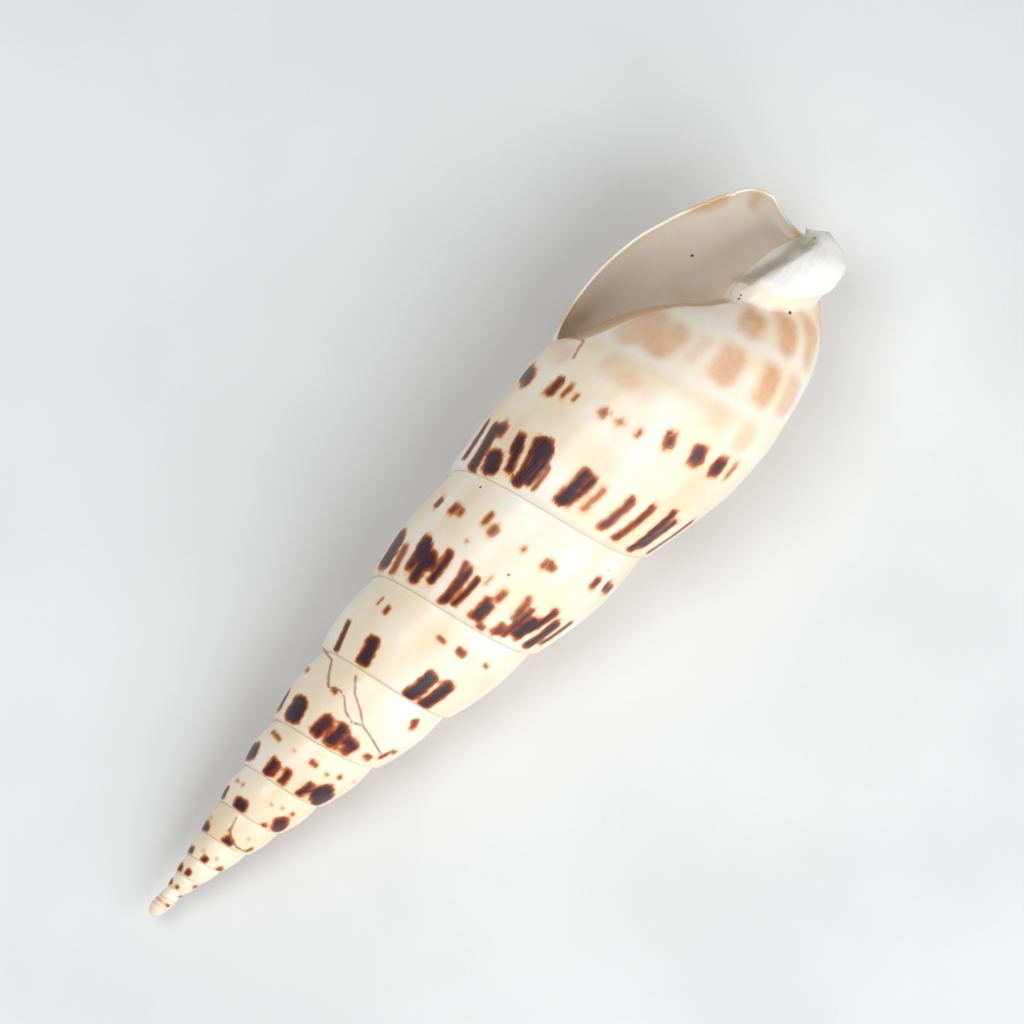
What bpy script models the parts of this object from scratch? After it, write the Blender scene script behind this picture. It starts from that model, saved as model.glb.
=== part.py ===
"""A marlinspike shell: one long coiled shell lying on its belly, mouth upwards.

Lengths are in millimetres until the last step, which turns them to metres. While it is
shaped, the shell coils about the X axis, from its point near x = 0 to its mouth. A turn
of 0 is the edge of the outer lip, on the +Y side, and older turns are negative. The
coil runs from the lip down under the shell, to the -Y side, over the top and on.
"""

import math

import bmesh
import bpy
from mathutils import Matrix

MM = 0.001

# The coil: where each turn of the suture crosses, and the outline that the turns fill
SUTURE_START = -3.33
SUTURE_REACH = 118.33
TURN_GROWTH = 1.293
OUTLINE_SLOPE = 0.2615
OUTLINE_CURVE = 0.000781
FIRST_TURN = -12
TIP_X = 0.6
TIP_BLUNTNESS = 1.45

# How a whorl's side swells between its sutures, and the step over the older whorl
WHORL_SIDE = (-0.33, 2.58, 3.33)
FULL_SWELL_X = 45.0

# Shallow dents and swellings: place along X, degrees round the axis, width, height
UNEVENNESS = ((101.0, 180.0, 8.0, -0.9), (114.0, 0.0, 7.0, 0.75))

# Outlines of the last whorl (x, radius): wall inside the mouth, far side and outer lip
MOUTH_WALL = (
    (114.9, 19.5), (117.5, 17.9), (126.7, 14.0), (131.2, 10.9), (133.3, 8.9), (136.7, 4.9), (140.5, 3.1),
)
FAR_SIDE = (
    (99.7, 16.8), (106.7, 18.1), (113.3, 19.1), (118.3, 19.5), (126.7, 19.1), (133.3, 17.8), (140.0, 16.0),
    (143.3, 14.5), (146.7, 12.3), (149.2, 9.5), (150.2, 7.2),
)
OUTER_LIP = (
    (115.0, 19.6), (123.3, 21.8), (130.0, 22.4), (136.7, 21.9), (143.3, 20.2), (150.0, 17.7), (153.3, 16.2),
    (156.7, 14.1), (158.0, 12.3), (158.7, 10.3),
)

# Spiral features of the shell's front end (turn, x, radius): the groove round the base,
# the trace that the siphonal notch leaves as it grows, the pillar's side and its end
GROOVE = ((-1, 140.5, 3.1), (-0.75, 142.4, 6.2), (-0.5, 150.0, 7.4), (-0.25, 155.0, 8.6), (0, 158.7, 10.3))
TRACE = ((-1, 144.0, 4.9), (-0.75, 146.4, 6.5), (-0.5, 153.6, 7.2), (-0.25, 157.4, 7.2), (0, 158.6, 5.2))
PILLAR = ((-1, 151.0, 3.7), (-0.75, 153.2, 5.4), (-0.5, 157.6, 6.6), (-0.25, 159.0, 4.6), (0, 158.6, 2.0))
PILLAR_END = ((-1, 158.2, 1.8), (-0.75, 159.4, 2.4), (-0.5, 160.2, 4.2), (-0.25, 159.9, 2.7), (0, 158.2, 1.8))
PILLAR_TOP = (160.8, -0.6, 0.0)
END_PLACES = (0.0, 0.3, 0.68, 1.0)

# The siphonal notch in the lip: how far back it reaches, in turns, and where it is deepest
NOTCH_DEPTH = 0.2
NOTCH_SPAN = 0.3
NOTCH_SKEW = 0.75

# The hollow: (turn, x, radius) of its front end, the row that it reaches, and its walls
HOLLOW_END = ((-1, 131.0, 4.0), (-0.5, 144.0, 4.2), (-0.25, 152.5, 3.2), (-0.1, 156.4, 1.7), (0, 158.2, 1.8))
HOLLOW_REACH = ((-1, 1.72), (-0.75, 1.74), (-0.5, 1.8), (-0.25, 2.3), (0, 3.0))
LIP_THICKNESS = 0.8
WALL_THICKNESS = 1.5
WALL_FULL_TURN = 0.12
EDGE_TAPER = 0.6

# Rows across the whorl: 0 to 1 from suture to suture, 2 at the groove, 3 at the pillar's end
SIDE_ROWS = (0.0, 0.035, 0.16, 0.38, 0.62, 0.84, 1.0)
BASE_ROWS = (1.09, 1.22, 1.37, 1.52, 1.67, 1.8, 1.91, 2.0)
END_ROWS = (2.15, 2.3, 2.45, 2.6, 2.75, 2.88, 3.0)
STEPS_PER_TURN = 36

# How the shell lies: it rests on its belly, with a shallow flat cut there. Vertices
# nearer to the cut than the snap are moved onto it, so that no sliver is left.
REST_TILT = math.radians(6.9)
REST_FLAT = 0.6
REST_SNAP = 0.03


def curve(points, at):
    """The value at one place of a smooth line through (place, value) points, with no overshoot."""
    slopes = [(b[1] - a[1]) / (b[0] - a[0]) for a, b in zip(points, points[1:])]
    index = max(i for i in range(len(slopes)) if i == 0 or points[i][0] <= at)
    tangents = []
    for i in (index, index + 1):
        before = slopes[max(i - 1, 0)]
        after = slopes[min(i, len(slopes) - 1)]
        tangents.append(2 * before * after / (before + after) if before * after > 0 else 0.0)
    (x0, y0), (x1, y1) = points[index], points[index + 1]
    span = x1 - x0
    t = min(max((at - x0) / span, 0.0), 1.0)
    rise = (3 - 2 * t) * t * t
    bend = span * t * (1 - t) * ((1 - t) * tangents[0] - t * tangents[1])
    return y0 + (y1 - y0) * rise + bend


def spiral(feature, turn):
    """Place and radius of one of the front end's spiral features."""
    place = curve([(key, x) for key, x, _ in feature], turn)
    return place, curve([(key, radius) for key, _, radius in feature], turn)


def mix(a, b, share):
    return a + (b - a) * share


def suture_x(turn):
    return SUTURE_START + SUTURE_REACH * TURN_GROWTH**turn


def uneven(x, turn):
    """Dents and swellings of the real shell's outline."""
    total = 0.0
    for place, degrees, width, height in UNEVENNESS:
        facing = max(math.cos(2 * math.pi * turn - math.radians(degrees)), 0.0)
        total += height * facing**2 * math.exp(-(((x - place) / width) ** 2))
    return total


def side_radius(turn, across):
    """Radius of a whorl's side, across from its suture at 0 to the next one at 1."""
    x = mix(suture_x(turn), suture_x(turn + 1), across)
    start, rise, fall = WHORL_SIDE
    swell = (start + rise * across - fall * across**2) * min(x / FULL_SWELL_X, 1.0)
    outline = OUTLINE_SLOPE * x - OUTLINE_CURVE * x * x
    return max(outline, TIP_BLUNTNESS) + swell + uneven(x, turn)


def spire_point(turn, across):
    """Place and radius on a spire whorl, whose upper edge sits on the whorl before it."""
    if across == 0:
        return suture_x(turn), side_radius(turn - 1, 1.0)
    return mix(suture_x(turn), suture_x(turn + 1), across), side_radius(turn, across)


def departure(turn, at_half, at_lip):
    """Grows smoothly from nothing at turn -1 to the given values at -0.5 and at the lip."""
    grown = turn + 1
    first = 8 * at_half - at_lip
    return grown**2 * (first + (at_lip - first) * grown)


def last_side_radius(turn, across):
    """Radius of the last whorl's side, which leaves the spire's rule for its own outlines."""
    gaps = []
    for key, outline in ((-0.5, FAR_SIDE), (0, OUTER_LIP)):
        x = mix(suture_x(key), suture_x(key + 1), across)
        gaps.append(curve(outline, x) - side_radius(key, across))
    return side_radius(turn, across) + departure(turn, *gaps)


def base_share(key, outline, share):
    """How much of the fall from the whorl's side to the groove is left, on one outline."""
    groove_x, groove_radius = spiral(GROOVE, key)
    start = suture_x(key + 1)
    first = curve(outline, start)
    here = curve(outline, mix(start, groove_x, share))
    return (here - groove_radius) / (first - groove_radius)


def base_point(turn, share):
    """Place and radius on the last whorl's base, share 0 at its side and 1 at the groove."""
    groove_x, groove_radius = spiral(GROOVE, turn)
    keys = ((-1, MOUTH_WALL), (-0.5, FAR_SIDE), (0, OUTER_LIP))
    left = curve([(key, base_share(key, outline, share)) for key, outline in keys], turn)
    x = mix(suture_x(turn + 1), groove_x, share)
    return x, mix(groove_radius, last_side_radius(turn, 1.0), left)


def end_point(turn, share):
    """Place and radius over the notch's trace and the pillar, to the pillar's end at 1."""
    stations = [spiral(feature, turn) for feature in (GROOVE, TRACE, PILLAR, PILLAR_END)]
    x = curve(list(zip(END_PLACES, [station[0] for station in stations])), share)
    return x, curve(list(zip(END_PLACES, [station[1] for station in stations])), share)


def body_point(turn, across):
    """Place and radius on the last whorl, for any row from the suture to the pillar's end."""
    if across == 0:
        return spire_point(turn, across)
    if across <= 1:
        return mix(suture_x(turn), suture_x(turn + 1), across), last_side_radius(turn, across)
    if across <= 2:
        return base_point(turn, across - 1)
    return end_point(turn, across - 2)


def edge_turn(turn, across):
    """The turn after the siphonal notch has set the lip's edge back."""
    if across <= 2:
        return turn
    near_lip = max(1 + turn / NOTCH_SPAN, 0.0)
    return turn - NOTCH_DEPTH * math.sin(math.pi * (across - 2) ** NOTCH_SKEW) ** 2 * near_lip


def round_axis(place, turn):
    """A point in space from a place along the axis, a radius and a turn."""
    x, radius = place
    angle = 2 * math.pi * turn
    return x, radius * math.cos(angle), radius * math.sin(angle)


def outer_point(turn, across):
    there = edge_turn(turn, across)
    return round_axis(body_point(there, across), there)


def wall_point(turn, across):
    """A point on the hollow's outer wall: the outside, moved in by the shell's thickness."""
    there = edge_turn(turn, across)
    x, radius = body_point(there, across)
    ahead = body_point(there, min(across + 0.02, 3.0))
    behind = body_point(there, max(across - 0.02, 0.04))
    along = (ahead[0] - behind[0], ahead[1] - behind[1])
    length = math.hypot(*along) or 1.0
    deep = mix(LIP_THICKNESS, WALL_THICKNESS, min(-turn / WALL_FULL_TURN, 1.0))
    deep *= min((3 - across) / EDGE_TAPER, 1.0)
    return round_axis((x + deep * along[1] / length, radius - deep * along[0] / length), there)


def old_wall_point(turn, across):
    """A point on the hollow's inner wall: the older whorl's base, then the pillar."""
    shrink = TURN_GROWTH**turn
    if across <= 2:
        x, radius = body_point(-1, across)
        return round_axis((SUTURE_START + (x - SUTURE_START) * shrink, radius * shrink), turn)
    groove_x, groove_radius = body_point(-1, 2.0)
    start = (SUTURE_START + (groove_x - SUTURE_START) * shrink, groove_radius * shrink)
    end = spiral(HOLLOW_END, turn)
    share = across - 2
    mouth_x, mouth_radius = body_point(-1, across)
    mouth_start, mouth_end = body_point(-1, 2.0), body_point(-1, 3.0)
    bulge = mouth_radius - mix(mouth_start[1], mouth_end[1], share)
    along = (mouth_x - mouth_start[0]) / (mouth_end[0] - mouth_start[0])
    return round_axis((mix(start[0], end[0], along), mix(start[1], end[1], share) + bulge), turn)


def sheet(bm, columns, rows, point):
    """Adds a sheet of faces whose vertices are placed by column and row number."""
    made = bmesh.ops.create_grid(bm, x_segments=columns, y_segments=rows, size=0.5)["verts"]
    for vert in made:
        column = round((vert.co.x + 0.5) * columns)
        row = round((vert.co.y + 0.5) * rows)
        vert.co = point(column, row)


def add_spire(bm):
    columns = (-1 - FIRST_TURN) * STEPS_PER_TURN

    def point(column, row):
        turn = FIRST_TURN + column / STEPS_PER_TURN
        return round_axis(spire_point(turn, SIDE_ROWS[row]), turn)

    sheet(bm, columns, len(SIDE_ROWS) - 1, point)


def add_last_whorl(bm):
    rows = SIDE_ROWS + BASE_ROWS + END_ROWS

    def point(column, row):
        return outer_point(column / STEPS_PER_TURN - 1, rows[row])

    sheet(bm, STEPS_PER_TURN, len(rows) - 1, point)


def hollow_row(turn, index):
    """A point of the ring that the hollow's wall makes at one turn, by its number in the ring."""
    outer = SIDE_ROWS + BASE_ROWS + END_ROWS
    inner = (SIDE_ROWS[-1:] + BASE_ROWS + END_ROWS)[1:]
    corner = old_wall_point(turn, inner[0])
    last = len(outer) - 1
    if index in (0, last + len(inner) - 1):
        return corner
    if index == last:
        return round_axis(spiral(HOLLOW_END, turn), turn)
    if index < last:
        reach = curve(HOLLOW_REACH, turn)
        across = outer[index] if outer[index] <= 1 else mix(1, reach, (outer[index] - 1) / 2)
        return wall_point(turn, across)
    return old_wall_point(turn, inner[len(inner) - 1 - (index - last)])


def hollow_size():
    return len(SIDE_ROWS + BASE_ROWS + END_ROWS) - 1 + len(BASE_ROWS + END_ROWS) - 1


def add_hollow(bm):
    size = hollow_size()

    def point(column, row):
        return hollow_row(-column / STEPS_PER_TURN, row)

    sheet(bm, STEPS_PER_TURN, size, point)


def add_lip_edge(bm):
    rows = SIDE_ROWS + BASE_ROWS + END_ROWS

    def point(column, row):
        return outer_point(0, rows[row]) if column == 0 else hollow_row(0, row)

    sheet(bm, 1, len(rows) - 1, point)


def close_holes(bm):
    """Closes the point, the pillar's end and the hollow's far end, each with a low dome."""
    open_edges = [edge for edge in bm.edges if edge.is_boundary]
    while open_edges:
        ring = connected_edges(open_edges)
        open_edges = [edge for edge in open_edges if edge not in ring]
        verts = {vert for edge in ring for vert in edge.verts}
        centre = [sum(vert.co[axis] for vert in verts) / len(verts) for axis in range(3)]
        if centre[0] < suture_x(FIRST_TURN + 2):
            centre = (TIP_X, 0.0, 0.0)
        elif centre[0] > GROOVE[-1][1]:
            centre = PILLAR_TOP
        made = bmesh.ops.extrude_edge_only(bm, edges=list(ring))["geom"]
        top = [item for item in made if isinstance(item, bmesh.types.BMVert)]
        bmesh.ops.pointmerge(bm, verts=top, merge_co=centre)


def connected_edges(edges):
    """The edges of one open ring, found from the first edge of a list."""
    ring, waiting = set(), [edges[0]]
    while waiting:
        edge = waiting.pop()
        ring.add(edge)
        for vert in edge.verts:
            waiting += [near for near in vert.link_edges if near.is_boundary and near not in ring]
    return ring


def lay_down(bm):
    """Tips the shell onto its belly, cuts the flat there, and puts the origin under it."""
    bmesh.ops.rotate(bm, verts=bm.verts, cent=(0, 0, 0), matrix=Matrix.Rotation(-REST_TILT, 3, "Y"))
    lowest = min(vert.co.z for vert in bm.verts) + REST_FLAT
    whole = bm.verts[:] + bm.edges[:] + bm.faces[:]
    cut = bmesh.ops.bisect_plane(
        bm, geom=whole, dist=REST_SNAP, plane_co=(0, 0, lowest), plane_no=(0, 0, -1), clear_outer=True
    )
    rim = [item for item in cut["geom_cut"] if isinstance(item, bmesh.types.BMEdge)]
    for vert in {vert for edge in rim for vert in edge.verts}:
        vert.co.z = lowest
    bmesh.ops.contextual_create(bm, geom=rim)
    middle = [(min(v.co[i] for v in bm.verts) + max(v.co[i] for v in bm.verts)) / 2 for i in (0, 1)]
    bmesh.ops.translate(bm, verts=bm.verts, vec=(-middle[0], -middle[1], -lowest))


def shell_material():
    material = bpy.data.materials.new("glossy cream shell")
    material.use_nodes = True
    shader = material.node_tree.nodes["Principled BSDF"]
    shader.inputs["Base Color"].default_value = (0.83, 0.68, 0.49, 1)
    shader.inputs["Roughness"].default_value = 0.25
    shader.inputs["Metallic"].default_value = 0.0
    return material


def make_shell():
    bm = bmesh.new()
    add_spire(bm)
    add_last_whorl(bm)
    add_hollow(bm)
    add_lip_edge(bm)
    bmesh.ops.remove_doubles(bm, verts=bm.verts, dist=0.0001)
    close_holes(bm)
    lay_down(bm)
    bmesh.ops.triangulate(bm, faces=bm.faces)
    bmesh.ops.recalc_face_normals(bm, faces=bm.faces)
    bmesh.ops.scale(bm, verts=bm.verts, vec=(MM, MM, MM))
    mesh = bpy.data.meshes.new("shell")
    bm.to_mesh(mesh)
    bm.free()
    mesh.shade_smooth()
    mesh.materials.append(shell_material())
    shell = bpy.data.objects.new("shell", mesh)
    bpy.context.scene.collection.objects.link(shell)


for old in list(bpy.data.objects):
    bpy.data.objects.remove(old)
make_shell()
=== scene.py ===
"""Looks of the marlinspike shell: a fine skin with its markings, the studio and the camera.

The shell is shaped in millimetres, coiling about the X axis from its point near x = 0 to its
mouth, and is laid on its belly at the end. A turn of 0 is the edge of the outer lip, on the +Y
side, and older turns are negative. Across a whorl, 0 to 1 runs from suture to suture, 2 is the
groove round the base and 3 is the pillar's end.
"""

import functools
import math
import random

import bmesh
import bpy
import numpy as np
from mathutils import Matrix, Vector, noise
from mathutils.bvhtree import BVHTree


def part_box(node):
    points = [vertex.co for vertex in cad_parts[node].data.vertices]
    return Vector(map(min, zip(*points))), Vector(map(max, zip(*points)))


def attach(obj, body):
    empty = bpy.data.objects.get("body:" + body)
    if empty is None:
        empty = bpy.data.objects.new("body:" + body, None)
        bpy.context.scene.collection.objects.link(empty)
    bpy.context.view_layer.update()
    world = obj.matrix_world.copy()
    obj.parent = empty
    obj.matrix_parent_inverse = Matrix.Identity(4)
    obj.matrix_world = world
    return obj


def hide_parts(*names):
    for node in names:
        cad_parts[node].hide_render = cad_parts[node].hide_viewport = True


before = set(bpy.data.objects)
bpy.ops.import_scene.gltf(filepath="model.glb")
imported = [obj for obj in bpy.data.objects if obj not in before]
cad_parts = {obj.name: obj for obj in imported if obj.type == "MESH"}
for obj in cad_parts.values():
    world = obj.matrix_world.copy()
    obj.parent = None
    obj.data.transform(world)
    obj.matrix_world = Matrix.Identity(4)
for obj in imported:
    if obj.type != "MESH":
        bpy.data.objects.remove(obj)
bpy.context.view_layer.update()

MM = 0.001

# The coil: where each turn of the suture crosses, and the outline that the turns fill
SUTURE_START = -3.33
SUTURE_REACH = 118.33
TURN_GROWTH = 1.293
OUTLINE_SLOPE = 0.2615
OUTLINE_CURVE = 0.000781
FIRST_TURN = -12
TIP_X = 0.3
DOME_STEPS = (25, 45, 62, 78)
TIP_BLUNTNESS = 1.45
MEAN_SLOPE = 0.22

# How far the real shell's suture strays from the rule, in millimetres, at these turns
SUTURE_DRIFT = (
    (-12, 0.0), (-5.5, -0.3), (-4.6, -0.8), (-3.8, -1.3), (-3.4, -0.3), (-2.8, 0.1), (-2.4, -0.6),
    (-2, -1.0), (-1.5, -1.1), (-1.1, -0.6), (-0.75, 0.1), (-0.5, 0.0), (1, 0.0),
)

# How a whorl's side swells between its sutures, and the step over the older whorl
WHORL_SIDE = (-0.33, 2.58, 3.33)
FULL_SWELL_X = 45.0
SUTURE_ROUNDING = 0.03

# Shallow dents and swellings: place along X, degrees round the axis, width, height
UNEVENNESS = ((101.0, 180.0, 8.0, -0.9), (114.0, 0.0, 7.0, 0.75))

# Outlines of the last whorl (x, radius): wall inside the mouth, far side and outer lip
MOUTH_WALL = (
    (114.9, 19.5), (117.5, 17.9), (126.7, 14.0), (131.2, 10.9), (133.3, 8.9), (136.7, 4.9),
    (140.5, 3.1),
)
FAR_SIDE = (
    (99.7, 16.8), (106.7, 18.1), (113.3, 19.1), (118.3, 19.5), (126.7, 19.1), (133.3, 17.8),
    (140.0, 16.0), (143.3, 14.5), (146.7, 12.3), (149.2, 9.5), (150.2, 7.2),
)
OUTER_LIP = (
    (115.0, 19.6), (123.3, 21.8), (130.0, 22.4), (136.7, 21.9), (143.3, 20.2), (150.0, 17.7),
    (153.3, 16.2), (156.7, 14.1), (158.0, 12.3), (158.7, 10.3),
)

# Spiral features of the shell's front end (turn, x, radius)
GROOVE = (
    (-1, 140.5, 3.1), (-0.75, 142.4, 6.2), (-0.5, 150.0, 7.4), (-0.25, 155.0, 8.6),
    (0, 158.7, 10.3),
)
TRACE = (
    (-1, 144.0, 4.9), (-0.75, 146.4, 6.5), (-0.5, 153.6, 7.2), (-0.25, 157.4, 7.2), (0, 158.6, 5.2),
)
PILLAR = (
    (-1, 151.0, 3.7), (-0.75, 153.2, 5.4), (-0.5, 157.6, 6.6), (-0.25, 159.0, 4.6), (0, 158.6, 2.0),
)
PILLAR_END = (
    (-1, 158.2, 1.8), (-0.75, 159.4, 2.4), (-0.5, 160.2, 4.2), (-0.25, 159.9, 2.7), (0, 158.2, 1.8),
)
PILLAR_TOP = (160.8, -0.6, 0.0)
END_PLACES = (0.0, 0.3, 0.68, 1.0)

# The siphonal notch in the lip: how far back it reaches, in turns, and where it is deepest
NOTCH_DEPTH = 0.2
NOTCH_SPAN = 0.3
NOTCH_SKEW = 0.75

# The hollow: (turn, x, radius) of its front end, the row that it reaches, and its walls
HOLLOW_END = (
    (-1, 131.0, 4.0), (-0.5, 144.0, 4.2), (-0.25, 152.5, 3.2), (-0.1, 156.4, 1.7), (0, 158.2, 1.8),
)
HOLLOW_REACH = ((-1, 1.72), (-0.75, 1.74), (-0.5, 1.8), (-0.25, 2.3), (0, 3.0))
LIP_THICKNESS = 0.4
WALL_THICKNESS = 1.5
WALL_FULL_TURN = 0.12
EDGE_TAPER = 0.6
CORNER_ROW = 0.07

# The fine skin: columns round each turn, and rows across a whorl
COLUMNS = 120
SUTURE_ROWS = (0.0, 0.008, 0.018, 0.032, 0.05)
SIDE_STEPS, BASE_STEPS, END_STEPS = 18, 28, 20
SIDE_ROWS = SUTURE_ROWS + tuple(0.05 + 0.95 * row / SIDE_STEPS for row in range(1, SIDE_STEPS + 1))
BASE_ROWS = tuple(1 + row / BASE_STEPS for row in range(1, BASE_STEPS + 1))
END_ROWS = tuple(2 + row / END_STEPS for row in range(1, END_STEPS + 1))
OUTER_ROWS = SIDE_ROWS + BASE_ROWS + END_ROWS
INNER_ROWS = BASE_ROWS + END_ROWS
MERGE_DISTANCE = 0.0001
REST_TILT = math.radians(6.9)

# The camera looks straight down on the coiling axis, which lies aslant in the picture: the place
# that it looks at, the slant, and in millimetres the width that it sees, its distance, and how
# close it starts to see
VIEW_PLACE = (90.4, 4.28, 0.0)
VIEW_TURN = math.radians(45.4)
VIEW_WIDTH = 170.7
VIEW_DISTANCE = 1000.0
VIEW_STARTS = 50.0

# How the marks were measured: on a picture of the shell with its axis level, this many units
# to the millimetre, rows counted down, and the axis on this row, rising slightly to the right
MARK_UNITS = 6.0
AXIS_ROW = 564.0
AXIS_RISE = 0.007

# Brown marks seen from the mouth side: left, right, top and bottom on the measured picture,
# the slant in degrees, and the ink, from 0.2 for a faint rust to 1 for a slate core
BROWN_MARKS = (
    # the point and the early whorls
    (5, 9, 566, 570, 0, 0.45), (18, 22, 555, 559, 0, 0.35), (18, 22, 561, 564, 0, 0.3),
    (19, 23, 567, 571, 0, 0.5), (37, 42, 551, 556, 0, 0.7), (37, 42, 561, 565, 0, 0.5),
    (35, 42, 571, 577, -55, 0.6), (52, 61, 549, 554, 12, 0.8), (55, 62, 558, 563, 0, 0.75),
    (52, 63, 575, 581, -28, 0.75), (71, 80, 545, 550, 12, 0.8), (74, 82, 560, 566, 0, 0.85),
    (76, 86, 577, 583, -12, 0.85), (95, 108, 538, 546, 4, 0.95), (102, 113, 560, 572, 0, 0.9),
    (82, 86, 554, 558, 0, 0.25), (86, 90, 569, 573, 0, 0.25), (112, 116, 536, 540, 0, 0.25),
    (115, 119, 557, 561, 0, 0.25), (123, 127, 578, 582, 0, 0.25), (113, 121, 586, 589, 0, 0.45),
    (134, 148, 528, 532, 12, 1.0), (135, 149, 542, 558, 15, 0.95), (141, 149, 578, 583, -30, 0.6),
    (147, 165, 585, 598, -38, 0.85), (157, 161, 529, 533, 0, 0.3), (158, 162, 535, 538, 0, 0.3),
    (163, 167, 570, 574, 0, 0.3), (167, 171, 580, 584, 0, 0.3), (171, 175, 591, 595, 0, 0.4),
    # the whorls that start at 175 and at 230
    (180, 200, 517, 525, 22, 0.95), (181, 202, 539, 549, 0, 0.9), (185, 200, 549, 552, 0, 0.5),
    (184, 203, 557, 566, 6, 0.8), (188, 209, 581, 588, 0, 0.85), (195, 220, 589, 609, -25, 0.9),
    (214, 219, 520, 532, 0, 0.45), (216, 220, 547, 551, 0, 0.25), (221, 227, 567, 577, 0, 0.5),
    (225, 229, 588, 592, 0, 0.35), (230, 235, 597, 602, 0, 0.5), (238, 243, 612, 616, 0, 0.2),
    (235, 260, 503, 507, 16, 1.0), (237, 266, 513, 531, 4, 1.0), (244, 272, 545, 560, -5, 0.8),
    (245, 275, 562, 577, 0, 0.85), (258, 271, 577, 593, 0, 0.85), (248, 260, 578, 590, 0, 0.5),
    (263, 272, 602, 611, 0, 0.55), (273, 283, 613, 618, -20, 0.6), (283, 290, 618, 622, 0, 0.45),
    (284, 291, 500, 504, 0, 0.4), (288, 294, 531, 538, 0, 0.55),
    # the whorl that starts at 313
    (320, 354, 499, 505, 16, 0.9), (325, 357, 524, 537, 12, 1.0), (337, 375, 588, 601, 0, 1.0),
    (339, 378, 603, 618, 0, 0.95), (317, 330, 612, 620, -50, 0.55), (380, 390, 503, 506, 0, 0.35),
    (381, 391, 512, 518, 0, 0.55), (399, 404, 568, 579, 0, 0.45), (404, 413, 593, 602, 0, 0.65),
    (411, 417, 622, 627, 0, 0.4),
    # the whorl that starts at 400
    (411, 458, 473, 481, 9, 0.9), (413, 450, 484, 490, 12, 0.5), (425, 466, 494, 502, 8, 0.7),
    (446, 465, 492, 505, 30, 0.8), (421, 451, 505, 515, 8, 0.85), (440, 460, 503, 519, 50, 0.8),
    (430, 470, 517, 527, 6, 0.85), (427, 478, 541, 548, 8, 0.6), (430, 472, 549, 554, 4, 0.75),
    (433, 470, 556, 560, 0, 0.85), (470, 483, 564, 569, 0, 0.25), (438, 467, 574, 585, 0, 0.65),
    (440, 463, 582, 592, 8, 0.9), (467, 485, 583, 589, 0, 0.5), (438, 446, 590, 597, 0, 0.55),
    (444, 462, 605, 612, 0, 0.6), (462, 494, 604, 614, 12, 0.55), (447, 490, 612, 621, 0, 0.7),
    (456, 486, 621, 631, 0, 1.0), (470, 507, 630, 637, -8, 0.85), (456, 500, 640, 646, 0, 0.9),
    (468, 508, 649, 654, -4, 0.8), (491, 504, 473, 478, 0, 0.75), (497, 512, 485, 493, 0, 0.65),
    (499, 511, 496, 504, 0, 0.5), (509, 526, 520, 527, 0, 0.5), (509, 524, 529, 539, 0, 0.6),
    (517, 526, 567, 574, 0, 0.35), (523, 537, 590, 598, 0, 0.5), (525, 535, 600, 608, 0, 0.6),
    (540, 555, 641, 647, 4, 0.75), (546, 560, 653, 658, 0, 0.7), (484, 489, 521, 524, 0, 0.3),
    # the last whorl, below its suture
    (544, 592, 455, 462, 11, 0.95), (548, 588, 450, 453, 11, 0.9), (541, 600, 464, 472, 11, 0.9),
    (586, 604, 462, 474, 0, 0.7), (546, 574, 479, 491, 25, 1.0), (562, 602, 490, 501, 24, 0.9),
    (586, 604, 485, 493, 15, 0.8), (565, 600, 508, 512, 12, 0.7), (597, 620, 500, 518, 28, 0.75),
    (562, 618, 513, 521, 6, 1.0), (568, 612, 523, 527, 6, 0.85), (574, 604, 530, 533, 6, 0.5),
    (580, 626, 557, 566, 0, 1.0), (584, 624, 567, 575, -3, 0.75), (588, 626, 577, 588, 0, 0.35),
    (591, 640, 607, 614, -2, 0.7), (592, 647, 623, 632, -3, 0.65), (596, 658, 645, 651, 2, 0.9),
    (604, 650, 653, 657, -4, 0.85), (607, 665, 663, 666, -4, 0.7),
    # the last whorl, second row
    (640, 662, 447, 457, -8, 0.85), (650, 675, 470, 481, 0, 0.75), (658, 676, 486, 493, 0, 0.5),
    (660, 671, 495, 500, 0, 0.4), (668, 684, 522, 533, -15, 0.5), (675, 690, 542, 553, -20, 0.35),
    (681, 693, 563, 571, 0, 0.4), (690, 709, 590, 603, 25, 0.75), (699, 722, 621, 633, 25, 0.85),
    (705, 728, 645, 653, 10, 0.8), (710, 734, 658, 664, 8, 0.35),
)

# Tan squares on the base, measured and written the same way
TAN_MARKS = (
    (684, 712, 438, 468, -20, 0.55), (706, 729, 494, 534, 0, 0.5), (711, 732, 532, 552, 0, 0.3),
    (738, 792, 485, 510, -6, 0.85), (752, 798, 508, 540, -10, 0.85), (772, 806, 542, 558, 0, 0.5),
    (740, 766, 600, 621, 0, 0.35), (746, 777, 640, 656, 0, 0.45), (779, 820, 568, 598, 6, 0.9),
    (789, 832, 614, 636, 8, 0.95), (798, 838, 641, 656, 8, 0.7), (833, 860, 559, 586, 0, 1.0),
    (846, 879, 594, 616, 0, 1.0), (851, 892, 619, 635, 0, 0.85),
)

# Stains inside the mouth and on the pillar, with painted shade in two boxes, written the same way, and
# how softly they end
STAINS_AND_SHADE = (
    # the second box here lies on the margin by the old whorl: partly the callus's tan, partly painted
    # shade
    (700, 742, 436, 446, -25, 0.5), (800, 846, 496, 530, -50, 0.25), (880, 926, 440, 462, -28, 0.9),
    # the second box here is painted shade in the pillar's trough, below its upper edge
    (935, 950, 466, 500, -70, 0.5), (862, 948, 534, 551, -8, 0.9), (928, 952, 548, 560, -10, 0.9),
    (702, 740, 430, 434, 13, 0.9), (775, 792, 419, 423, -4, 0.9),
)
STAIN_AND_SHADE_EDGE = (0.6, 1.0)

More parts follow.
